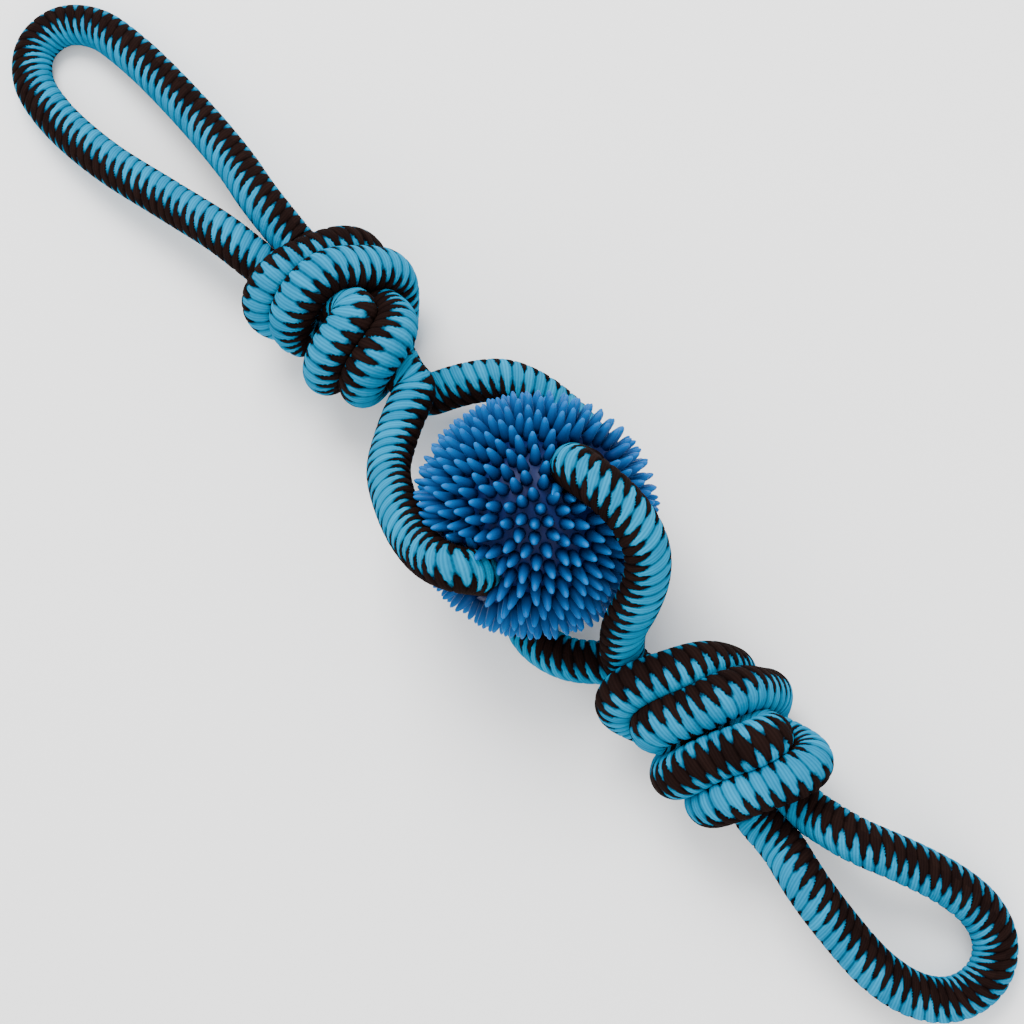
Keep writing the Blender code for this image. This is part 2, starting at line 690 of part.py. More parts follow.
# Ball
rope_lines = [spread_evenly(line, FINE_POINTS) for line in (lower_line, upper_line)]
spiky_ball = bpy.data.objects.new("spiky_ball", ball_mesh(ball_centre, rope_lines))
spiky_ball.location = ball_centre - origin
parts.objects.link(spiky_ball)
spiky_ball.data.materials.append(blue_rubber)
hollow_mesh = sphere_mesh("ball_hollow", BALL_CORE_RADIUS - BALL_WALL)
cut(spiky_ball, cutter_object("ball_hollow", hollow_mesh, cutters, ball_centre - origin, 0.0))
bore_radius = ROPE_RADIUS + PASSAGE_CLEARANCE
bore_length = 2 * (ball_reach + CUT_OVERRUN)
for passage_name, middle in (("lower_passage", lower_middle), ("upper_passage", upper_middle)):
    bore = cylinder_mesh(passage_name, bore_radius, bore_length, PASSAGE_SIDES)
    cut(spiky_ball, cutter_object(passage_name, bore, cutters, middle - origin, passage_roll))

# Strands
for strand_name, line in (("lower_strand", lower_line), ("upper_strand", upper_line)):
    strand = free_rope(strand_name, line, parts, origin)
    strand.data.materials.append(blue_rope)
    if strand_name == "lower_strand":
        strand = as_mesh(strand)
        cut(strand, floor)

# Knots and handles, each on an empty on its joint's axis
for side_name, ropes, radii, middle, knot_pivot, handle_pivot, loop_line in (
    ("left", left_knot, left_radii, left_middle, left_knot_pivot, left_handle_pivot, left_line),
    ("right", right_knot, right_radii, right_middle, right_knot_pivot, right_handle_pivot, right_line),
):
    swing = pivot_empty(side_name + "_knot_pivot", knot_pivot - origin, parts, None, root_place)
    fold = pivot_empty(side_name + "_handle_pivot", handle_pivot, parts, swing, knot_pivot)
    for number, rope in enumerate(ropes):
        tube_name = f"{side_name}_knot_rope_{number + 1}"
        points = rope + middle - knot_pivot
        tube = tube_object(tube_name, points, radii[number], KNOT_BEVEL_STEPS, parts)
        tube.data.materials.append(blue_rope)
        tube = as_mesh(tube)
        put_on(tube, swing)
        cut(tube, floor)
    loop = free_rope(side_name + "_handle_loop", loop_line, parts, handle_pivot)
    loop.data.materials.append(blue_rope)
    loop = as_mesh(loop)
    put_on(loop, fold)
    cut(loop, floor)

for thing in parts.objects:
    if thing.type == "MESH" and thing.name != "spiky_ball":
        thing.data.shade_smooth()

lines = {
    "lower strand": lower_line,
    "upper strand": upper_line,
    "left handle loop": left_line,
    "right handle loop": right_line,
}
knots = {
    "left knot rope 1": left_middle + left_knot[0],
    "left knot rope 2": left_middle + left_knot[1],
    "right knot rope 1": right_middle + right_knot[0],
    "right knot rope 2": right_middle + right_knot[1],
}
knot_thick = dict(zip(knots, left_radii + right_radii))
for line_name, line in {**lines, **knots}.items():
    length = float(np.linalg.norm(np.diff(line, axis=0), axis=1).sum())
    print(line_name, "length, mm:", round(length * 1000, 1))
for line_name, line in lines.items():
    for rope_name, rope in knots.items():
        gap = (distances(spread_evenly(line, FINE_POINTS), rope) - ROPE_RADIUS - knot_thick[rope_name]).min()
        if gap < ROPE_RADIUS:
            print(line_name, "to", rope_name, "gap, mm:", round(gap * 1000, 2))
gap = distances(*rope_lines).min() - ROPE_DIAMETER
print("lower strand to upper strand gap, mm:", round(gap * 1000, 2))
print("origin from under the ball, mm:", [round(v * 1000, 2) for v in origin])
for pivot_name, place in (
    ("left knot pivot", left_knot_pivot),
    ("left handle pivot", left_handle_pivot),
    ("right knot pivot", right_knot_pivot),
    ("right handle pivot", right_handle_pivot),
):
    print(pivot_name, "m:", [round(float(v), 5) for v in place - origin])
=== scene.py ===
"""Rope tug toy: a spiky rubber ball threaded on a knotted two-colour rope, with a hand loop at each end."""

import json
import math

import bmesh
import bpy
import numpy as np
from mathutils import Matrix, Vector


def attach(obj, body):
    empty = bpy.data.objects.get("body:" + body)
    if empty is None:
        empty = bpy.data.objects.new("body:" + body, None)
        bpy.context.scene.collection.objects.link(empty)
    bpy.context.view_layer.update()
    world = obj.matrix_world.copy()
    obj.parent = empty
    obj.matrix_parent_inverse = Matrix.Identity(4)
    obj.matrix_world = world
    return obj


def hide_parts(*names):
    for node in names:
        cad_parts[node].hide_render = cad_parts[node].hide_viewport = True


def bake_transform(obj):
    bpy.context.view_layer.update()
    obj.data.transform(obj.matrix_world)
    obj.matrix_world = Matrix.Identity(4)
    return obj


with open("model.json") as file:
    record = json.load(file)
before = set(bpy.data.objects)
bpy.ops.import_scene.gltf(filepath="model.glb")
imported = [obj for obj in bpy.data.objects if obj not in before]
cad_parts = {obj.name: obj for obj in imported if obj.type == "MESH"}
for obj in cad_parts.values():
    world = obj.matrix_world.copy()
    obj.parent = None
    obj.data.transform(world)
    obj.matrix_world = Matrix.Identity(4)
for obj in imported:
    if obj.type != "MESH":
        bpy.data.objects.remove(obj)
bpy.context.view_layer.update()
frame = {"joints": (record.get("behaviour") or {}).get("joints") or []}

# Camera.
# It looks down on the toy from 13 degrees off straight overhead, and it is rolled so that
# the toy runs from the top left of the picture to the bottom right.
ball_centre = np.array([0.03385, 0.0, 0.0455])
camera_tilt = math.radians(13)
camera_distance = 0.7
view_width = 0.343
picture_side = 1024
ball_in_picture = (535, 515)

towards_camera = Vector((math.sin(camera_tilt), 0.0, math.cos(camera_tilt)))
picture_up = Vector((-1.0, 1.0, 0.0))
picture_up = (picture_up - towards_camera * picture_up.dot(towards_camera)).normalized()
picture_right = picture_up.cross(towards_camera)
camera_data = bpy.data.cameras.new("camera")
camera_data.sensor_width = 36.0
camera_data.lens = camera_data.sensor_width * camera_distance / view_width
camera_data.shift_x = (picture_side / 2 - ball_in_picture[0]) / picture_side
camera_data.shift_y = (ball_in_picture[1] - picture_side / 2) / picture_side
camera_data.clip_start = 0.05
camera_data.clip_end = 10.0
camera = bpy.data.objects.new("camera", camera_data)
bpy.context.scene.collection.objects.link(camera)
camera.matrix_world = Matrix.Translation(Vector(ball_centre) + towards_camera * camera_distance) @ Matrix(
    (picture_right, picture_up, towards_camera)
).transposed().to_4x4()
bpy.context.scene.camera = camera

# The knots' middle lines.
# Each knot is a doubled overhand knot: both ropes turn out of the core, wrap one and a half
# times back over it and run out again. A small rope solver then draws every turn tight.
rope_radius = 0.0073
end_gap = 0.0003
knot_points = 64

# One rope pitch along X, Y and Z: the distance between two turns that touch. The lengths below
# it are counted in pitches
knot_pitch = np.array([0.0145, 0.0130, 0.0130])
wrap_radius = 1.6
wrap_turn = 1.0
wrap_degrees = 540
core_offset = 0.5
core_points = 60
turn_points = 24
wrap_points = 200
lead = 1.3
straight_lead = 0.35
half_spacing = 0.51
contact_search = 1.5
own_spare = 1.4

# How the solver draws the ropes tight. A rate is the share of a gap that one round closes
search_every = 8
held_points = 2
inner_rounds = 3
straightening = 0.12
closing_rate = 0.2
pushing_rate = 0.3
allowed_stretch = 0.02
shorten = 0.996
lengthen = 1.002


def spread_evenly(points, count):
    """The same line with count points at equal steps along it."""
    steps = np.linalg.norm(np.diff(points, axis=0), axis=1)
    along = np.concatenate([[0.0], np.cumsum(steps)])
    places = np.linspace(0.0, along[-1], count)
    return np.stack([np.interp(places, along, points[:, k]) for k in range(3)], axis=1)


def ease(low, high, t):
    """0 below low, 1 above high, and a smooth step between them."""
    f = np.clip((t - low) / (high - low), 0.0, 1.0)
    return f * f * (3 - 2 * f)


def wrapped_knot(lean, turn, wrap_pitch, offset):
    """The middle line of a doubled rope wrapped round its own core, and its side direction."""
    half = 0.5 * wrap_pitch * wrap_degrees / 360
    places = [(x, core_offset, 0.0) for x in np.linspace(-2 * half, half - wrap_turn, core_points)]
    sides = [(0.0, 0.0, 1.0)] * len(places)
    for share in np.linspace(1 / turn_points, 1.0, turn_points):
        angle = 0.5 * math.pi * share
        out = core_offset + (wrap_radius - core_offset) * float(ease(0.0, 1.0, share))
        along = half - wrap_turn + wrap_turn * math.sin(angle)
        places.append((along, out, wrap_turn * (1 - math.cos(angle))))
        sides.append((-math.sin(angle), 0.0, math.cos(angle)))
    way_back = np.array([-1.0, -1.0, 1.0])
    far_places = (np.array(places) * way_back)[::-1]
    far_sides = (-np.array(sides) * way_back)[::-1]
    first = math.degrees(math.asin(wrap_turn / wrap_radius))
    for degrees in np.linspace(first, wrap_degrees - first, wrap_points)[1:-1]:
        angle = math.radians(degrees)
        along = half * (1 - 2 * (degrees - first) / (wrap_degrees - 2 * first))
        places.append((along, wrap_radius * math.cos(angle), wrap_radius * math.sin(angle)))
        sides.append((-1.0, 0.0, 0.0))
    line = np.concatenate([places, far_places])
    line[:, 0] += line[:, 1] * math.tan(math.radians(lean))
    c = math.cos(math.radians(turn))
    s = math.sin(math.radians(turn))
    turned = np.array([[1, 0, 0], [0, c, s], [0, -s, c]])
    return line @ turned + np.array([0.0, offset, 0.0]), np.concatenate([sides, far_sides]) @ turned


def settle(ropes, rounds):
    """Shorten two ropes between fixed ends, one pitch thick, and keep them side by side."""
    along = np.array([1.0, 0.0, 0.0])
    first = ropes[:, 0].copy()
    last = ropes[:, -1].copy()
    step = np.linalg.norm(np.diff(ropes, axis=1), axis=2).mean(axis=1)
    rope_count, point_count, _ = ropes.shape
    total = rope_count * point_count
    one, two = np.triu_indices(total, 1)
    same_rope = one // point_count == two // point_count
    apart = np.abs(one % point_count - two % point_count)
    for round_number in range(rounds):
        if round_number % search_every == 0:
            flat = ropes.reshape(-1, 3)
            neighbours = same_rope & (apart * step.mean() < own_spare)
            near = ((flat[one] - flat[two]) ** 2).sum(axis=1) < contact_search ** 2
            pair_one = one[near & ~neighbours]
            pair_two = two[near & ~neighbours]
        for rope in range(rope_count):
            for held in range(held_points):
                ropes[rope, held] = first[rope] + along * (held * step[rope])
                ropes[rope, -1 - held] = last[rope] - along * (held * step[rope])
        for _ in range(inner_rounds):
            for start in (0, 1):
                back = ropes[:, start:point_count - 1:2]
                front = ropes[:, start + 1:point_count:2]
                back = back[:, :front.shape[1]]
                link = front - back
                size = np.sqrt((link ** 2).sum(axis=2, keepdims=True))
                shift = 0.5 * (size - step[:, None, None]) / size * link
                back += shift
                front -= shift
        ropes[:, 1:-1] += straightening * (0.5 * (ropes[:, :-2] + ropes[:, 2:]) - ropes[:, 1:-1])
        between = np.sqrt(((ropes[0][:, None] - ropes[1][None]) ** 2).sum(axis=2))
        nearest = between.argmin(axis=1)
        link = ropes[1][nearest] - ropes[0]
        size = between.min(axis=1)[:, None]
        closing = closing_rate * np.clip(size - 1, 0, 1) / size * link
        ropes[0] += 0.5 * closing
        np.add.at(ropes[1], nearest, -0.5 * closing)
        for _ in range(inner_rounds):
            flat = ropes.reshape(-1, 3)
            link = flat[pair_one] - flat[pair_two]
            size = np.sqrt((link ** 2).sum(axis=1))
            push = np.where(size < 1, pushing_rate * (1 - size) / size, 0.0)[:, None] * link
            for axis in range(3):
                flat[:, axis] += np.bincount(pair_one, push[:, axis], total)
                flat[:, axis] -= np.bincount(pair_two, push[:, axis], total)
        length = np.sqrt((np.diff(ropes, axis=1) ** 2).sum(axis=2)).mean(axis=1)
        step = step * np.where(length / step - 1 < allowed_stretch, shorten, lengthen)
    return ropes


def tied_knot(lean, turn, wrap_pitch, offset, back, front, end_sides, rounds, middle):
    """The two middle lines of a drawn knot in metres, from back behind its middle to front."""
    line, side = wrapped_knot(lean, turn, wrap_pitch, offset)
    back_pitches = back / knot_pitch[0]
    front_pitches = front / knot_pitch[0]
    first = int(np.argmax(line[:, 0] > lead - back_pitches))
    last = len(line) - int(np.argmax(line[::-1, 0] < front_pitches - lead))
    faces = (np.array([-back_pitches, 0.0, 0.0]), np.array([front_pitches, 0.0, 0.0]))
    straight = np.array([straight_lead, 0.0, 0.0])
    apart = []
    for end_side, place in zip(end_sides, (first, last - 1)):
        way = np.array(end_side, dtype=float)
        apart.append(half_spacing * (way if side[place].dot(way) > 0 else -way))
    ropes = []
    for sign in (1, -1):
        body = line[first:last] + sign * core_offset * side[first:last]
        start = faces[0] + sign * apart[0]
        end = faces[1] + sign * apart[1]
        whole = np.array([start, start + straight, *body, end - straight, end])
        ropes.append(spread_evenly(whole, knot_points))
    ropes = settle(np.array(ropes), rounds) * knot_pitch
    ropes[:, 0, 0] = -back
    ropes[:, -1, 0] = front
    return np.array([spread_evenly(rope, knot_points) for rope in ropes]) + middle


joint_places = {joint["name"]: np.array(joint["pos_m"]) for joint in frame["joints"]}
left_knot_pivot = joint_places["left_knot_swing"]
left_handle_pivot = joint_places["left_handle_fold"]
right_knot_pivot = joint_places["right_knot_swing"]
right_handle_pivot = joint_places["right_handle_fold"]
pivot_reach = rope_radius + end_gap
ball_side_length = 0.0315
left_handle_side_length = 0.0325
right_handle_side_length = 0.0350
beside_way = (0, 1, 0)
stacked_way = (0, 0, 1)
along_x = np.array([1.0, 0.0, 0.0])
left_knot = tied_knot(
    lean=-5,
    turn=42,
    wrap_pitch=2.0,
    offset=0.27,
    back=left_handle_side_length,
    front=ball_side_length,
    end_sides=(beside_way, stacked_way),
    rounds=90,
    middle=left_knot_pivot - along_x * (pivot_reach + ball_side_length),
)
right_knot = tied_knot(
    lean=18,
    turn=10,
    wrap_pitch=1.9,
    offset=0.45,
    back=ball_side_length,
    front=right_handle_side_length,
    end_sides=(stacked_way, beside_way),
    rounds=60,
    middle=right_knot_pivot + along_x * (pivot_reach + ball_side_length),
)

# The rope's whole middle line.
# One rope runs round the whole toy: out of a knot, through the ball, through the other knot,
# round the hand loop and back. It is limp, and only the knots and the ball hold it off the floor.

# The strands' routes are in metres from the ball's centre
lower_left_route = [
    (-0.0610, -0.0055, -0.0105),
    (-0.0555, -0.0150, -0.0070),
    (-0.0478, -0.0240, -0.0010),
    (-0.0350, -0.0300, 0.0075),
    (-0.0210, -0.0335, 0.0165),
    (-0.0085, -0.0335, 0.0250),
    (0.0000, -0.0305, 0.0290),
]
lower_right_route = [
    (0.0065, -0.0225, -0.0363),
    (0.0115, -0.0270, -0.0381),
    (0.0190, -0.0305, -0.0369),
    (0.0280, -0.0305, -0.0345),
    (0.0380, -0.0270, -0.0315),
    (0.0460, -0.0205, -0.0302),
]
upper_left_route = [
    (-0.0618, 0.0100, -0.0290),
    (-0.0558, 0.0185, -0.0270),
    (-0.0480, 0.0265, -0.0262),
    (-0.0370, 0.0310, -0.0275),
    (-0.0230, 0.0325, -0.0300),
    (-0.0100, 0.0315, -0.0332),
    (0.0000, 0.0290, -0.0303),
]
upper_right_route = [
    (0.0075, 0.0198, 0.0360),
    (0.0135, 0.0206, 0.0385),
    (0.0215, 0.0214, 0.0383),
    (0.0310, 0.0208, 0.0350),
    (0.0405, 0.0170, 0.0285),
    (0.0455, 0.0105, 0.0205),
    (0.0478, 0.0020, 0.0115),
    (0.0483, -0.0060, 0.0015),
]

# The loops' routes are in metres from the floor under their joint
left_loop_route = [
    (-0.0165, 0.0095, 0.0245),
    (-0.0338, 0.0125, 0.0205),
    (-0.0684, 0.0155, 0.0150),
    (-0.1011, 0.0158, 0.0105),
    (-0.1208, 0.0130, 0.0070),
    (-0.1322, 0.0045, 0.0058),
    (-0.1337, -0.0080, 0.0058),
    (-0.1253, -0.0175, 0.0064),
    (-0.1080, -0.0215, 0.0090),
    (-0.0783, -0.0205, 0.0135),
    (-0.0427, -0.0140, 0.0190),
    (-0.0165, -0.0092, 0.0245),
]
right_loop_route = [
    (0.0140, 0.0108, 0.0270),
    (0.0314, 0.0175, 0.0220),
    (0.0478, 0.0225, 0.0160),
    (0.0604, 0.0232, 0.0110),
    (0.0703, 0.0190, 0.0070),
    (0.0757, 0.0105, 0.0058),
    (0.0757, 0.0015, 0.0058),
    (0.0719, -0.0060, 0.0068),
    (0.0632, -0.0120, 0.0100),
    (0.0496, -0.0148, 0.0150),
    (0.0304, -0.0135, 0.0215),
    (0.0140, -0.0108, 0.0270),
]
route_points = 160
leg_half_spacing = 0.00745

# The two passages through the ball, which cross its core on either side of the middle
core_radius = 0.0335
passage_roll = math.radians(8)
passage_offset = 0.0235
passage_x = 0.004
passage_shares = (1.1, 0.55, 0, -0.55, -1)


def smooth_curve(points, count, fine=24):
    """A Catmull-Rom curve through the points, read at count even steps."""
    p = np.array(points, dtype=float)
    p = np.concatenate([[2 * p[0] - p[1]], p, [2 * p[-1] - p[-2]]])
    t = np.linspace(0.0, 1.0, fine, endpoint=False)[:, None]
    runs = []
    for a, b, c, d in zip(p[:-3], p[1:-2], p[2:-1], p[3:]):
        knots = [0.0]
        for u, v in ((a, b), (b, c), (c, d)):
            knots.append(knots[-1] + math.sqrt(float(np.linalg.norm(v - u))))
        k0, k1, k2, k3 = knots
        x = k1 + t * (k2 - k1)
        a1 = (k1 - x) / (k1 - k0) * a + (x - k0) / (k1 - k0) * b
        a2 = (k2 - x) / (k2 - k1) * b + (x - k1) / (k2 - k1) * c
        a3 = (k3 - x) / (k3 - k2) * c + (x - k2) / (k3 - k2) * d
        b1 = (k2 - x) / (k2 - k0) * a1 + (x - k0) / (k2 - k0) * a2
        b2 = (k3 - x) / (k3 - k1) * a2 + (x - k1) / (k3 - k1) * a3
        runs.append((k2 - x) / (k2 - k1) * b1 + (x - k1) / (k2 - k1) * b2)
    runs.append(p[-2][None])
    return spread_evenly(np.concatenate(runs), count)


passage_way = np.array([0.0, -math.sin(passage_roll), math.cos(passage_roll)])
passage_side = np.array([0.0, math.cos(passage_roll), math.sin(passage_roll)])
passage_middle = np.array([passage_x, 0.0, 0.0])
passage_half = math.sqrt(core_radius ** 2 - passage_offset ** 2)
lower_middle = passage_middle - passage_side * passage_offset
upper_middle = passage_middle + passage_side * passage_offset
lower_passage = [lower_middle + passage_way * passage_half * share for share in passage_shares]
upper_passage = [upper_middle - passage_way * passage_half * share for share in passage_shares]
stacked = np.array([0.0, 0.0, leg_half_spacing])
beside = np.array([0.0, leg_half_spacing, 0.0])


def smooth_route(first, route, last, origin):
    """A smooth line from one pivot's point to another's, along a route measured from an origin."""
    return smooth_curve([first, *[origin + np.array(point) for point in route], last], route_points)


lower_strand = smooth_route(
    left_knot_pivot + stacked,
    [*lower_left_route, *lower_passage, *lower_right_route],
    right_knot_pivot - stacked,
    ball_centre,
)
upper_strand = smooth_route(
    left_knot_pivot - stacked,
    [*upper_left_route, *upper_passage, *upper_right_route],
    right_knot_pivot + stacked,
    ball_centre,
)
on_floor = np.array([1.0, 1.0, 0.0])
left_loop = smooth_route(
    left_handle_pivot + beside,
    left_loop_route,
    left_handle_pivot - beside,
    left_handle_pivot * on_floor,
)
right_loop = smooth_route(
    right_handle_pivot + beside,
    right_loop_route,
    right_handle_pivot - beside,
    right_handle_pivot * on_floor,
)

# The ropes of each knot, in the order of the strands that they run on into
left_knot = sorted(left_knot, key=lambda rope: -rope[-1, 2])
right_knot = sorted(right_knot, key=lambda rope: rope[0, 2])
if right_knot[0][-1, 1] < right_handle_pivot[1]:
    right_loop = right_loop[::-1]
if left_knot[1][0, 1] < left_handle_pivot[1]:
    left_loop = left_loop[::-1]
stretches = {
    "left_knot_rope_a": left_knot[0],
    "lower_strand": lower_strand,
    "right_knot_rope_a": right_knot[0],
    "right_loop": right_loop,
    "right_knot_rope_b": right_knot[1][::-1],
    "upper_strand": upper_strand[::-1],
    "left_knot_rope_b": left_knot[1][::-1],
    "left_loop": left_loop,
}


def round_line(points, step):
    """A closed line through the points, at even steps."""
    closed = np.concatenate([points, points[:1]])
    length = np.linalg.norm(np.diff(closed, axis=0), axis=1).sum()
    return spread_evenly(closed, int(round(length / step)) + 1)[:-1]


smoothing_step = 0.001
smoothing_rounds = 12
ring_step = 0.00045
rope_line = round_line(np.concatenate(list(stretches.values())), smoothing_step)
for _ in range(smoothing_rounds):
    rope_line = 0.5 * rope_line + 0.25 * (np.roll(rope_line, 1, axis=0) + np.roll(rope_line, -1, axis=0))
rope_line = round_line(rope_line, ring_step)
ring_count = len(rope_line)


def nearest_ring(place):
    """The ring of the rope nearest to a place."""
    return int(np.argmin(((rope_line - place) ** 2).sum(axis=1)))


# The rope's surface.
# Braided rope about 14.6 mm thick, of dyed cotton and polyester yarn. Four columns of stitches
# run along it, two bright blue and two near black, and each reaches into the next like teeth.
stitch_pitch = 0.0043
stitches_round = -4
knot_stitches_round = -2
ring_sides = 60
rope_core = 0.0067
stitch_height = 0.0009
knot_fullness = 0.0006
blue_excess = 0.06
tooth_reach = 0.60
tooth_roundness = 0.55
tooth_waver = 1.9
tooth_waver_size = 0.24
row_waver = 0.7
row_waver_size = 0.18
rib_half_width = 0.0012
tooth_half_width = 0.0006
groove_height = 0.35
crowding = 0.5
bend_window = 8
narrow_depth = 0.38
narrow_reach = 0.013

tangent = np.roll(rope_line, -1, axis=0) - np.roll(rope_line, 1, axis=0)
tangent /= np.linalg.norm(tangent, axis=1, keepdims=True)
across = np.zeros_like(rope_line)
side = np.cross(tangent[0], [0.0, 0.0, 1.0])
for ring in range(ring_count):
    side = side - tangent[ring] * side.dot(tangent[ring])
    side = side / np.linalg.norm(side)
    across[ring] = side
upward = np.cross(tangent, across)

# The stitches crowd together where the rope bends
turning = np.roll(tangent, -bend_window, axis=0) - np.roll(tangent, bend_window, axis=0)
bend = np.linalg.norm(turning, axis=1) / (2 * bend_window * ring_step)
rate = 1 + crowding * rope_radius * bend
stitch_along = np.concatenate([[0.0], np.cumsum(rate)]) * ring_step / stitch_pitch
stitch_along *= round(stitch_along[-1]) / stitch_along[-1]

# How a blue column is turned at places along the rope: a stretch, a share of it, and degrees
# from the side that faces the camera towards the left of the way that the rope runs
blue_turns = [
    ("left_knot_rope_a", 0.26, 35),
    ("left_knot_rope_a", 0.34, 35),
    ("left_knot_rope_a", 0.62, -25),
    ("left_knot_rope_a", 0.70, -30),
    ("left_knot_rope_a", 0.78, -26),
    ("lower_strand", 0.04, -17),
    ("lower_strand", 0.15, -17),
    ("lower_strand", 0.27, -24),
    ("lower_strand", 0.38, 0),
    ("lower_strand", 0.80, -78),
    ("lower_strand", 0.95, -78),
    ("right_knot_rope_a", 0.28, -20),
    ("right_knot_rope_a", 0.36, -22),
    ("right_knot_rope_a", 0.68, 26),
    ("right_knot_rope_a", 0.78, 30),
    ("right_loop", 0.06, -38),
    ("right_loop", 0.20, -48),
    ("right_loop", 0.38, -55),
    ("right_loop", 0.50, -82),
    ("right_loop", 0.60, -114),
    ("right_loop", 0.92, -122),
    ("right_knot_rope_b", 0.27, -28),
    ("right_knot_rope_b", 0.40, -28),
    ("right_knot_rope_b", 0.68, -85),
    ("right_knot_rope_b", 0.78, -85),
    ("upper_strand", 0.05, -22),
    ("upper_strand", 0.15, -26),
    ("upper_strand", 0.25, -28),
    ("upper_strand", 0.33, 0),
    ("upper_strand", 0.72, -25),
    ("upper_strand", 0.94, -30),
    ("left_knot_rope_b", 0.26, 28),
    ("left_knot_rope_b", 0.31, 0),
    ("left_knot_rope_b", 0.37, -24),
    ("left_knot_rope_b", 0.44, -38),
    ("left_knot_rope_b", 0.72, 32),
    ("left_knot_rope_b", 0.80, 32),
    ("left_loop", 0.05, -36),
    ("left_loop", 0.30, -48),
    ("left_loop", 0.50, -58),
    ("left_loop", 0.70, -60),
    ("left_loop", 0.95, -48),
]
half_turn = math.pi
key_rings = []
key_angles = []
for stretch, share, degrees in blue_turns:
    line = stretches[stretch]
    ring = nearest_ring(line[int(round(share * (len(line) - 1)))])
    seen = np.array(towards_camera) - tangent[ring] * np.dot(towards_camera, tangent[ring])
    seen /= np.linalg.norm(seen)
    turned = math.radians(degrees)
    faces = seen * math.cos(turned) + np.cross(seen, tangent[ring]) * math.sin(turned)
    key_rings.append(ring)
    key_angles.append(math.atan2(faces.dot(upward[ring]), faces.dot(across[ring])))
order = np.argsort(key_rings)
key_rings = np.array(key_rings)[order]
key_angles = np.array(key_angles)[order]
for key in range(1, len(key_angles)):
    key_angles[key] -= half_turn * round((key_angles[key] - key_angles[key - 1]) / half_turn)
closing = np.arctan2((across[0] * upward[-1]).sum(), (across[0] * across[-1]).sum())
last_angle = key_angles[0] + closing
last_angle -= half_turn * round((last_angle - key_angles[-1]) / half_turn)
roll = np.interp(
    np.arange(ring_count),
    np.concatenate([[key_rings[-1] - ring_count], key_rings, [key_rings[0] + ring_count]]),
    np.concatenate([[key_angles[0] - (last_angle - key_angles[-1])], key_angles, [last_angle]]),
)

# How far the rope can swell each way before it meets the next turn, half-way between the two
around = np.arange(ring_sides) / ring_sides
turn_angle = math.tau * around[None] + roll[:, None]
outward = across[:, None] * np.cos(turn_angle)[..., None] + upward[:, None] * np.sin(turn_angle)[..., None]
every = 4
thin = rope_line[::every]
thin_place = np.arange(ring_count)[::every]
own_reach = 0.021
meeting_reach = 2.2 * rope_radius
least_facing = 0.1
nearest_count = 48
batch = 500
far = 1.0
room = np.full((ring_count, ring_sides), far)
for start in range(0, ring_count, batch):
    rings = np.arange(start, min(start + batch, ring_count))
    link = thin[None] - rope_line[rings][:, None]
    distance = np.sqrt((link ** 2).sum(axis=2))
    apart = np.abs(thin_place[None] - rings[:, None])
    apart = np.minimum(apart, ring_count - apart) * ring_step
    distance[apart < own_reach] = far
    nearest = np.argpartition(distance, nearest_count, axis=1)[:, :nearest_count]
    gap = np.take_along_axis(distance, nearest, axis=1)
    way = np.take_along_axis(link, nearest[..., None], axis=1) / gap[..., None]
    facing = np.einsum("rsk,rnk->rsn", outward[rings], way)
    meets = (facing > least_facing) & (gap[:, None] < meeting_reach)
    limit = np.where(meets, gap[:, None] / 2 / np.maximum(facing, least_facing), far)
    room[rings] = limit.min(axis=2)


def ring_span(first_place, last_place):
    """The rings from one place to another, forward along the rope."""
    first = nearest_ring(first_place)
    last = nearest_ring(last_place)
    return first, last if last > first else last + ring_count


# Inside the knots the rope is pressed until its turns fill the room between them
fullness_start = 0.004
fullness_end = 0.016
in_knot = np.zeros(ring_count)
knot_spans = {}
for name in ("left_knot_rope_a", "left_knot_rope_b", "right_knot_rope_a", "right_knot_rope_b"):
    span = ring_span(stretches[name][0], stretches[name][-1])
    knot_spans[name] = span
    rings = np.arange(*span)
    from_end = np.minimum(rings - span[0], span[1] - rings) * ring_step
    in_knot[rings % ring_count] = ease(fullness_start, fullness_end, from_end)

# The blue columns are narrower where a strand goes into the ball from above
from_ball = np.full(ring_count, np.inf)
for name, share in (("lower_strand", 0.37), ("upper_strand", 0.34)):
    line = stretches[name]
    ring = nearest_ring(line[int(round(share * (len(line) - 1)))])
    from_ball = np.minimum(from_ball, np.abs(np.arange(ring_count) - ring) * ring_step)
blue_width = (blue_excess - narrow_depth * np.exp(-((from_ball / narrow_reach) ** 2)))[:, None]

# The stitches lean round the rope, less so where the knots have twisted it
lean_round = stitches_round + (knot_stitches_round - stitches_round) * in_knot
hidden_side = 0.25
along = stitch_along[:-1, None]
stitch = along + lean_round[:, None] * ((around[None] + hidden_side) % 1)
from_middle = np.abs(stitch - np.round(stitch))
saw = 1 - 4 * from_middle
tooth = np.sign(saw) * np.abs(saw) ** tooth_roundness

# A blue column is centred on each half turn round the rope, and a black one between each two
blue_spacing = 0.5
from_blue = np.abs(around[None] - blue_spacing * np.round(around[None] / blue_spacing))
column = 1 + blue_width - 4 * from_blue / blue_spacing
tooth_wave = tooth_waver_size * np.sin(tooth_waver * np.round(2 * stitch))
reach = 1 + tooth_wave + row_waver_size * np.sin(row_waver * along)
edge = column + tooth_reach * reach * tooth

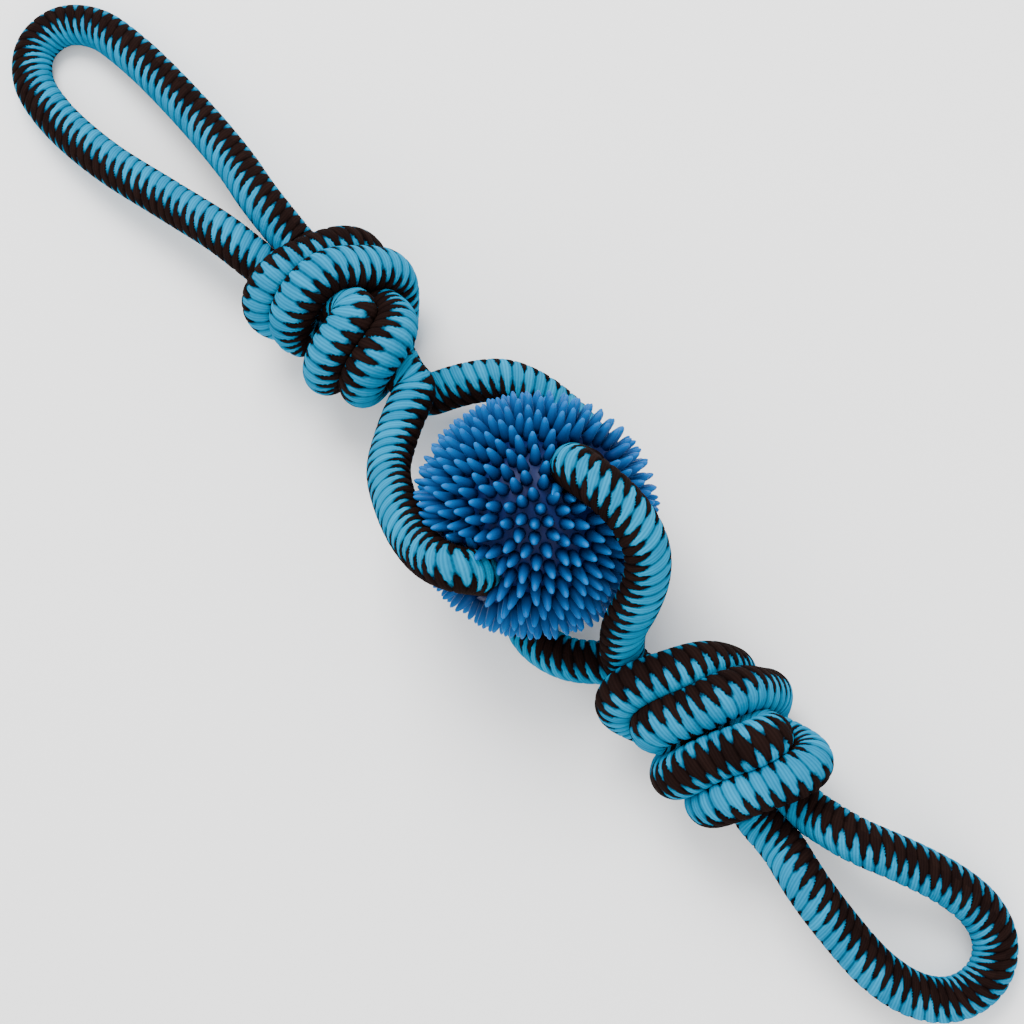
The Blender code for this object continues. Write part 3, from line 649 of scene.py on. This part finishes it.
# Each stitch is a rounded rib that dips to its neighbours and to the next column's teeth
from_edge = np.abs(edge) * stitch_pitch / (4 * tooth_reach)
from_next = np.where(edge > 0, 0.5 - from_middle, from_middle) * stitch_pitch
tooth_rise = 1 - (1 - np.minimum(from_edge / tooth_half_width, 1)) ** 2
rib_rise = 1 - (1 - np.minimum(from_next / rib_half_width, 1)) ** 2
rise = np.minimum(tooth_rise, groove_height + (1 - groove_height) * rib_rise)
turn_clearance = 0.00003
least_swell = 0.003
floor_clearance = 0.0002
swell = rope_core + knot_fullness * in_knot[:, None] + stitch_height * rise
swell = np.minimum(swell, np.maximum(room - turn_clearance, least_swell))
surface = rope_line[:, None] + outward * swell[..., None]
surface[..., 2] = np.maximum(surface[..., 2], floor_clearance)

# The rope's material: dyed yarn, matt, with painted shade that makes it near black in the grooves
# and darker between the fine yarns along each stitch. Blue and black are each dyed a little unevenly, from
# stitch to stitch
deep_blue_dye = (0.0, 0.155, 0.30, 1.0)
bright_blue_dye = (0.0, 0.29, 0.52, 1.0)
blue_groove_shade = (0.0, 0.008, 0.030, 1.0)
deep_black_dye = (0.006, 0.0030, 0.0028, 1.0)
pale_black_dye = (0.016, 0.0075, 0.0060, 1.0)
black_groove_shade = (0.0006, 0.0002, 0.0002, 1.0)
edge_fray = 0.4
edge_sharpness = 6.0
yarns_in_stitch = 4.0
yarn_shade = 0.35
groove_shade = 1.3
stitch_dye_share = 0.6


def uneven_colour():
    """A shader node group of the uneven dye and the fine grain of yarn and rubber."""
    if "uneven_colour" in bpy.data.node_groups:
        return bpy.data.node_groups["uneven_colour"]
    group = bpy.data.node_groups.new("uneven_colour", "ShaderNodeTree")
    group.interface.new_socket("Size", in_out="INPUT", socket_type="NodeSocketFloat")
    group.interface.new_socket("Grain Size", in_out="INPUT", socket_type="NodeSocketFloat")
    group.interface.new_socket("Cloud", in_out="OUTPUT", socket_type="NodeSocketFloat")
    group.interface.new_socket("Grain", in_out="OUTPUT", socket_type="NodeSocketFloat")
    taken = group.nodes.new("NodeGroupInput")
    given = group.nodes.new("NodeGroupOutput")
    place = group.nodes.new("ShaderNodeTexCoord")
    for socket in ("Size", "Grain Size"):
        scale = group.nodes.new("ShaderNodeMath")
        scale.operation = "DIVIDE"
        scale.inputs[0].default_value = 1.0
        group.links.new(taken.outputs[socket], scale.inputs[1])
        noise = group.nodes.new("ShaderNodeTexNoise")
        group.links.new(place.outputs["Object"], noise.inputs["Vector"])
        group.links.new(scale.outputs[0], noise.inputs["Scale"])
        group.links.new(noise.outputs[0], given.inputs["Cloud" if socket == "Size" else "Grain"])
    return group


def new_material(name):
    """A material, with its nodes, their links and its Principled BSDF."""
    material = bpy.data.materials.new(name)
    material.use_nodes = True
    tree = material.node_tree
    return material, tree.nodes, tree.links, tree.nodes["Principled BSDF"]


def add_node(kind, **settings):
    """A node of the material that is being made, with its settings made."""
    node = nodes.new(kind)
    for name, value in settings.items():
        setattr(node, name, value)
    return node


def calculate(operation, first, second=None, third=None, clamp=False):
    """A maths node on sockets or numbers, and its result."""
    node = add_node("ShaderNodeMath", operation=operation, use_clamp=clamp)
    for socket, value in zip(node.inputs, (first, second, third)):
        if value is None:
            continue
        if isinstance(value, (int, float)):
            socket.default_value = value
        else:
            links.new(value, socket)
    return node.outputs[0]


def mix_colours(share, first, second):
    """A mix of two colours, or colour sockets, by a share."""
    node = add_node("ShaderNodeMix", data_type="RGBA")
    for socket, value in zip((node.inputs[0], node.inputs[6], node.inputs[7]), (share, first, second)):
        if isinstance(value, (int, float, tuple)):
            socket.default_value = value
        else:
            links.new(value, socket)
    return node.outputs[2]


rope_material, nodes, links, shader = new_material("blue_and_black_rope")
uv = add_node("ShaderNodeUVMap", uv_map="stitches")
split = add_node("ShaderNodeSeparateXYZ")
links.new(uv.outputs[0], split.inputs[0])
uneven = add_node("ShaderNodeGroup", node_tree=uneven_colour())
uneven.inputs["Size"].default_value = 0.004
uneven.inputs["Grain Size"].default_value = 0.0012
stitch_place = split.outputs[0]
saw_value = calculate("MULTIPLY_ADD", calculate("PINGPONG", stitch_place, 0.5), -4.0, 1.0)
tooth_value = calculate("POWER", calculate("ABSOLUTE", saw_value), tooth_roundness)
tooth_value = calculate("MULTIPLY", tooth_value, calculate("SIGN", saw_value))
half_stitch = calculate("ROUND", calculate("MULTIPLY", stitch_place, 2.0))
tooth_sine = calculate("SINE", calculate("MULTIPLY", half_stitch, tooth_waver))
row_sine = calculate("SINE", calculate("MULTIPLY", split.outputs[1], row_waver))
reach_value = calculate("MULTIPLY_ADD", row_sine, row_waver_size, 1.0)
reach_value = calculate("MULTIPLY_ADD", tooth_sine, tooth_waver_size, reach_value)
reach_value = calculate("MULTIPLY", reach_value, tooth_reach)
column_value = add_node("ShaderNodeAttribute", attribute_name="blue_column").outputs["Fac"]
edge_value = calculate("MULTIPLY_ADD", tooth_value, reach_value, column_value)
fray = calculate("MULTIPLY_ADD", uneven.outputs["Grain"], edge_fray, -0.5 * edge_fray)
edge_value = calculate("ADD", edge_value, fray)
blue_share = calculate("MULTIPLY_ADD", edge_value, edge_sharpness, 0.5, clamp=True)
# Painted shade: the yarn turns to the groove colours where the stitches dip, and darker between the fine
# yarns
rise_value = add_node("ShaderNodeAttribute", attribute_name="stitch_rise").outputs["Fac"]
yarn_value = calculate("PINGPONG", calculate("MULTIPLY", stitch_place, yarns_in_stitch), 0.5)
lit = calculate("POWER", rise_value, groove_shade)
lit = calculate("MULTIPLY", lit, calculate("MULTIPLY_ADD", yarn_value, 2 * yarn_shade, 1 - yarn_shade))
stitch_dye = add_node("ShaderNodeTexWhiteNoise", noise_dimensions="1D")
links.new(half_stitch, stitch_dye.inputs["W"])
cloud_dye = calculate("MULTIPLY", uneven.outputs["Cloud"], 1 - stitch_dye_share)
dye = calculate("MULTIPLY_ADD", stitch_dye.outputs[0], stitch_dye_share, cloud_dye)
blue_yarn = mix_colours(lit, blue_groove_shade, mix_colours(dye, deep_blue_dye, bright_blue_dye))
black_yarn = mix_colours(lit, black_groove_shade, mix_colours(dye, deep_black_dye, pale_black_dye))
links.new(mix_colours(blue_share, black_yarn, blue_yarn), shader.inputs["Base Color"])
shader.inputs["Roughness"].default_value = 0.85
shader.inputs["Specular IOR Level"].default_value = 0.02
bump = add_node("ShaderNodeBump")
bump.inputs["Strength"].default_value = 0.5
bump.inputs["Distance"].default_value = 0.0004
links.new(calculate("MULTIPLY_ADD", yarn_value, 0.5, uneven.outputs["Grain"]), bump.inputs["Height"])
links.new(bump.outputs[0], shader.inputs["Normal"])


def rope_piece(name, first_ring, last_ring):
    """A closed length of the rope, from one ring to a later one."""
    rings = np.arange(first_ring, last_ring + 1)
    count = len(rings)
    points = surface[rings % ring_count].reshape(-1, 3)
    ring_index, side_index = np.meshgrid(np.arange(count - 1), np.arange(ring_sides), indexing="ij")
    next_side = (side_index + 1) % ring_sides
    quads = np.stack(
        [
            ring_index * ring_sides + side_index,
            ring_index * ring_sides + next_side,
            (ring_index + 1) * ring_sides + next_side,
            (ring_index + 1) * ring_sides + side_index,
        ],
        axis=2,
    ).reshape(-1, 4)
    caps = [list(range(ring_sides))[::-1], list(range((count - 1) * ring_sides, count * ring_sides))]
    mesh = bpy.data.meshes.new(name)
    mesh.from_pydata(points.tolist(), [], quads.tolist() + caps)

    # The stitches' own coordinates: along the leaning stitches, and straight along the rope
    near_side = (side_index / ring_sides + hidden_side) % 1
    far_side = near_side + 1 / ring_sides
    turned = np.stack([near_side, far_side, far_side, near_side], axis=2).reshape(-1, 4)
    corner_ring = np.stack([ring_index, ring_index, ring_index + 1, ring_index + 1], axis=2).reshape(-1, 4)
    corner_ring = corner_ring + first_ring
    straight = stitch_along[corner_ring % ring_count] + corner_ring // ring_count * stitch_along[-1]
    leaning = straight + turned * lean_round[corner_ring % ring_count]
    coordinates = np.stack([leaning, straight], axis=2).reshape(-1, 2)
    coordinates = np.concatenate([coordinates, np.zeros((2 * ring_sides, 2))])
    uv_layer = mesh.uv_layers.new(name="stitches")
    uv_layer.data.foreach_set("uv", coordinates.astype(np.float32).ravel())
    for value_name, values in (("stitch_rise", rise), ("blue_column", column)):
        value_layer = mesh.attributes.new(value_name, "FLOAT", "POINT")
        value_layer.data.foreach_set("value", values[rings % ring_count].astype(np.float32).ravel())

    # The length is shaded smooth, with sharp rims at its two cut ends
    mesh.shade_smooth()
    sharp = mesh.attributes.new("sharp_edge", "BOOLEAN", "EDGE")
    ends = np.zeros(len(mesh.edges) * 2, dtype=np.int32)
    mesh.edges.foreach_get("vertices", ends)
    sharp.data.foreach_set("value", np.isin(ends.reshape(-1, 2), caps[0] + caps[1]).all(axis=1))
    mesh.materials.append(rope_material)
    piece = bpy.data.objects.new(name, mesh)
    bpy.context.scene.collection.objects.link(piece)
    return piece


# The knots.
# Each knot is two lengths of the rope, wrapped one and a half times round their own core and
# pulled tight, so that the turns press one another flat where they meet.
for name, span in knot_spans.items():
    body = name.split("_rope")[0]
    piece = rope_piece("tied_" + name, *span)
    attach(piece, body)
    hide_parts(body + "_rope_1", body + "_rope_2")

# The strands.
# Two lengths of the rope run from knot to knot and cross inside the ball, which they hold
# by friction. Each is cut in the middle of the ball, where it can't be seen.
path_step = 4
lower_split = nearest_ring(ball_centre + lower_middle)
upper_split = nearest_ring(ball_centre + upper_middle)


def cord_piece(name, first_ring, last_ring, node, exit_last=False):
    """A length of the rope from one ring to a later one, which stands in for a part of the model."""
    first_ring %= ring_count
    if last_ring < first_ring:
        last_ring += ring_count
    piece = rope_piece(name, first_ring, last_ring)
    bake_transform(piece)
    path = rope_line[np.arange(first_ring, last_ring + 1, path_step) % ring_count]
    if exit_last:
        path = path[::-1]
    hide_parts(node)


# Each strand is cut in two, each length from a knot's mouth to the middle of the ball
cord_piece(
    "lower_strand_left_half",
    knot_spans["left_knot_rope_a"][1],
    lower_split,
    node="lower_strand",
    exit_last=True,
)
cord_piece(
    "lower_strand_right_half",
    lower_split,
    knot_spans["right_knot_rope_a"][0],
    node="lower_strand",
)
cord_piece(
    "upper_strand_right_half",
    knot_spans["right_knot_rope_b"][1],
    upper_split,
    node="upper_strand",
    exit_last=True,
)
cord_piece(
    "upper_strand_left_half",
    upper_split,
    knot_spans["left_knot_rope_b"][0],
    node="upper_strand",
)

# The hand loops.
# The rope runs out of each knot, round a loop for the hand and back into the same knot.
cord_piece(
    "left_hand_loop",
    knot_spans["left_knot_rope_b"][1],
    knot_spans["left_knot_rope_a"][0],
    node="left_handle_loop",
)
cord_piece(
    "right_hand_loop",
    knot_spans["right_knot_rope_a"][1],
    knot_spans["right_knot_rope_b"][0],
    node="right_handle_loop",
)

# The ball.
# A hollow ball moulded in soft blue rubber, with blunt spikes all over it. The spikes beside
# the rope are pushed over by it.
spike_count = 640
spike_length = 0.0084
spike_tip = 0.0011
spike_sides = 8
spike_profile = [
    (0.0, 0.0023),
    (0.3, 0.00185),
    (0.6, 0.00145),
    (0.82, spike_tip),
    (0.94, 0.0007),
    (1.0, 0.0002),
]
spike_root = 0.0006
rng = np.random.default_rng(7)

# The spikes' spread: of their places, their lengths as a share, and their lean in metres
place_spread = 0.010
length_spread = 0.025
lean_spread = 0.0004

ball_reach = 0.065
lines_by_ball = rope_line[::3]
lines_by_ball = lines_by_ball[np.linalg.norm(lines_by_ball - ball_centre, axis=1) < ball_reach]


def nearest_rope(place):
    """The vector from the nearest point of the rope's middle line to a place, and its length."""
    link = place - lines_by_ball
    distance = np.sqrt((link ** 2).sum(axis=1))
    index = int(np.argmin(distance))
    return link[index], float(distance[index])


def ball_directions(count):
    """Directions spread evenly over a sphere, a little out of line."""
    golden = math.pi * (3 - math.sqrt(5))
    z = 1 - 2 * (np.arange(count) + 0.5) / count
    ring = np.sqrt(1 - z * z)
    angle = golden * np.arange(count)
    directions = np.stack([ring * np.cos(angle), ring * np.sin(angle), z], axis=1)
    directions += rng.normal(0.0, place_spread, directions.shape)
    return directions / np.linalg.norm(directions, axis=1, keepdims=True)


# The core dips to let the rope in, with a small rounded lip about each hole
hole_inside = rope_radius - 0.0005
hole_outside = rope_radius + 0.0020
hole_depth = 0.0060
lip_middle = rope_radius + 0.0026
lip_width = 0.0010
lip_height = 0.0006
ball_points = []
ball_faces = []
ball_heights = []
core_mesh = bmesh.new()
bmesh.ops.create_icosphere(core_mesh, subdivisions=6, radius=core_radius)
for vert in core_mesh.verts:
    _, distance = nearest_rope(ball_centre + np.array(vert.co))
    dip = 1 - float(ease(hole_inside, hole_outside, distance))
    lip = math.exp(-(((distance - lip_middle) / lip_width) ** 2))
    radius = core_radius - hole_depth * dip + lip_height * lip
    vert.co = vert.co.normalized() * radius
    ball_points.append(tuple(ball_centre + np.array(vert.co)))
    ball_heights.append(0.0)
core_mesh.verts.index_update()
for face in core_mesh.faces:
    ball_faces.append([vert.index for vert in face.verts])
core_mesh.free()

# A spike stays clear of the rope: one beside it bends away, and one under it is left out
root_clearance = rope_radius + 0.0002
tip_clearance = rope_radius + spike_tip + 0.0003
push_rounds = 6
most_bent = 0.9
least_upright = 0.4
for direction in ball_directions(spike_count):
    root = ball_centre + direction * (core_radius - spike_root)
    _, distance = nearest_rope(root)
    if distance < root_clearance:
        continue
    length = spike_length * (1 + rng.normal(0.0, length_spread)) + spike_root
    lean = rng.normal(0.0, lean_spread, 3)
    push = lean - direction * lean.dot(direction)
    for _ in range(push_rounds):
        for share in (0.5, 0.75, 1.0):
            place = root + direction * length * share + push * share ** 2
            link, distance = nearest_rope(place)
            if distance < tip_clearance:
                push = push + link / max(distance, 1e-6) * (tip_clearance - distance) / share ** 2
    bent = float(np.linalg.norm(push))
    if bent > most_bent * length:
        push = push * (most_bent * length / bent)
        bent = most_bent * length
    upright = math.sqrt(max(length ** 2 - bent ** 2, (least_upright * length) ** 2))
    sideways = np.array(Vector(direction).orthogonal().normalized())
    other = np.cross(direction, sideways)
    first = len(ball_points)
    for share, radius in spike_profile:
        middle = root + direction * upright * share + push * share ** 2
        for k in range(spike_sides):
            angle = math.tau * k / spike_sides
            rim_way = sideways * math.cos(angle) + other * math.sin(angle)
            ball_points.append(tuple(middle + rim_way * radius))
            ball_heights.append(share)
    for ring in range(len(spike_profile) - 1):
        for k in range(spike_sides):
            a = first + ring * spike_sides + k
            b = first + ring * spike_sides + (k + 1) % spike_sides
            ball_faces.append([a, b, b + spike_sides, a + spike_sides])
    top = first + (len(spike_profile) - 1) * spike_sides
    ball_faces.append([top + k for k in range(spike_sides)])
    ball_faces.append([first + k for k in range(spike_sides)][::-1])
ball_mesh = bpy.data.meshes.new("spiked_ball")
ball_mesh.from_pydata(ball_points, [], ball_faces)
ball_mesh.shade_smooth()
height_layer = ball_mesh.attributes.new("spike_height", "FLOAT", "POINT")
height_layer.data.foreach_set("value", np.array(ball_heights, dtype=np.float32))
ball = bpy.data.objects.new("spiked_ball", ball_mesh)
bpy.context.scene.collection.objects.link(ball)

# The rubber is deep blue, with painted shade between the spikes and a painted highlight that brightens them
# towards their tips
deep_valley_shade = (0.0002, 0.004, 0.040, 1.0)
pale_valley_shade = (0.0004, 0.009, 0.075, 1.0)
deep_tip_highlight = (0.0, 0.075, 0.30, 1.0)
pale_tip_highlight = (0.0, 0.16, 0.46, 1.0)
tip_highlight_power = 1.4
rubber, nodes, links, shader = new_material("blue_rubber")
height = add_node("ShaderNodeAttribute", attribute_name="spike_height")
uneven = add_node("ShaderNodeGroup", node_tree=uneven_colour())
uneven.inputs["Size"].default_value = 0.030
uneven.inputs["Grain Size"].default_value = 0.003
valley = mix_colours(uneven.outputs["Cloud"], deep_valley_shade, pale_valley_shade)
tip = mix_colours(uneven.outputs["Cloud"], deep_tip_highlight, pale_tip_highlight)
# Painted shade at the spikes' roots and painted highlight towards their tips, by the height up each spike
tip_highlight_share = calculate("POWER", height.outputs["Fac"], tip_highlight_power)
links.new(mix_colours(tip_highlight_share, valley, tip), shader.inputs["Base Color"])
links.new(calculate("MULTIPLY_ADD", uneven.outputs["Grain"], 0.2, 0.36), shader.inputs["Roughness"])
shader.inputs["Specular IOR Level"].default_value = 0.12
ball_mesh.materials.append(rubber)
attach(ball, "ball")
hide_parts("spiky_ball")

# The floor and the lights.
# A plain pale studio floor, a broad soft light from the top left and a weaker one opposite.
floor_half = 3.0
floor_corners = [(x * floor_half, y * floor_half, 0.0) for x, y in ((-1, -1), (1, -1), (1, 1), (-1, 1))]
floor_mesh = bpy.data.meshes.new("floor")
floor_mesh.from_pydata(floor_corners, [], [(0, 1, 2, 3)])
floor = bpy.data.objects.new("floor", floor_mesh)
bpy.context.scene.collection.objects.link(floor)
floor.location.z = -0.0004
paper, nodes, links, shader = new_material("pale_floor")
shader.inputs["Base Color"].default_value = (0.95, 0.95, 0.95, 1.0)
shader.inputs["Roughness"].default_value = 0.9
floor_mesh.materials.append(paper)

world = bpy.data.worlds.new("studio")
world.use_nodes = True
background = world.node_tree.nodes["Background"]
background.inputs["Color"].default_value = (1.0, 1.0, 1.0, 1.0)
background.inputs["Strength"].default_value = 1.35
bpy.context.scene.world = world


def studio_light(name, place, size, power):
    """A square soft light that looks at the ball."""
    light = bpy.data.lights.new(name, "AREA")
    light.size = size
    light.energy = power
    lamp = bpy.data.objects.new(name, light)
    lamp.location = place
    lamp.rotation_mode = "QUATERNION"
    lamp.rotation_quaternion = (Vector(place) - Vector(ball_centre)).to_track_quat("Z", "Y")
    bpy.context.scene.collection.objects.link(lamp)


studio_light("key_light", (-0.7, 0.5, 1.3), 0.8, 34.0)
studio_light("fill_light", (0.9, -0.4, 1.0), 1.2, 9.0)
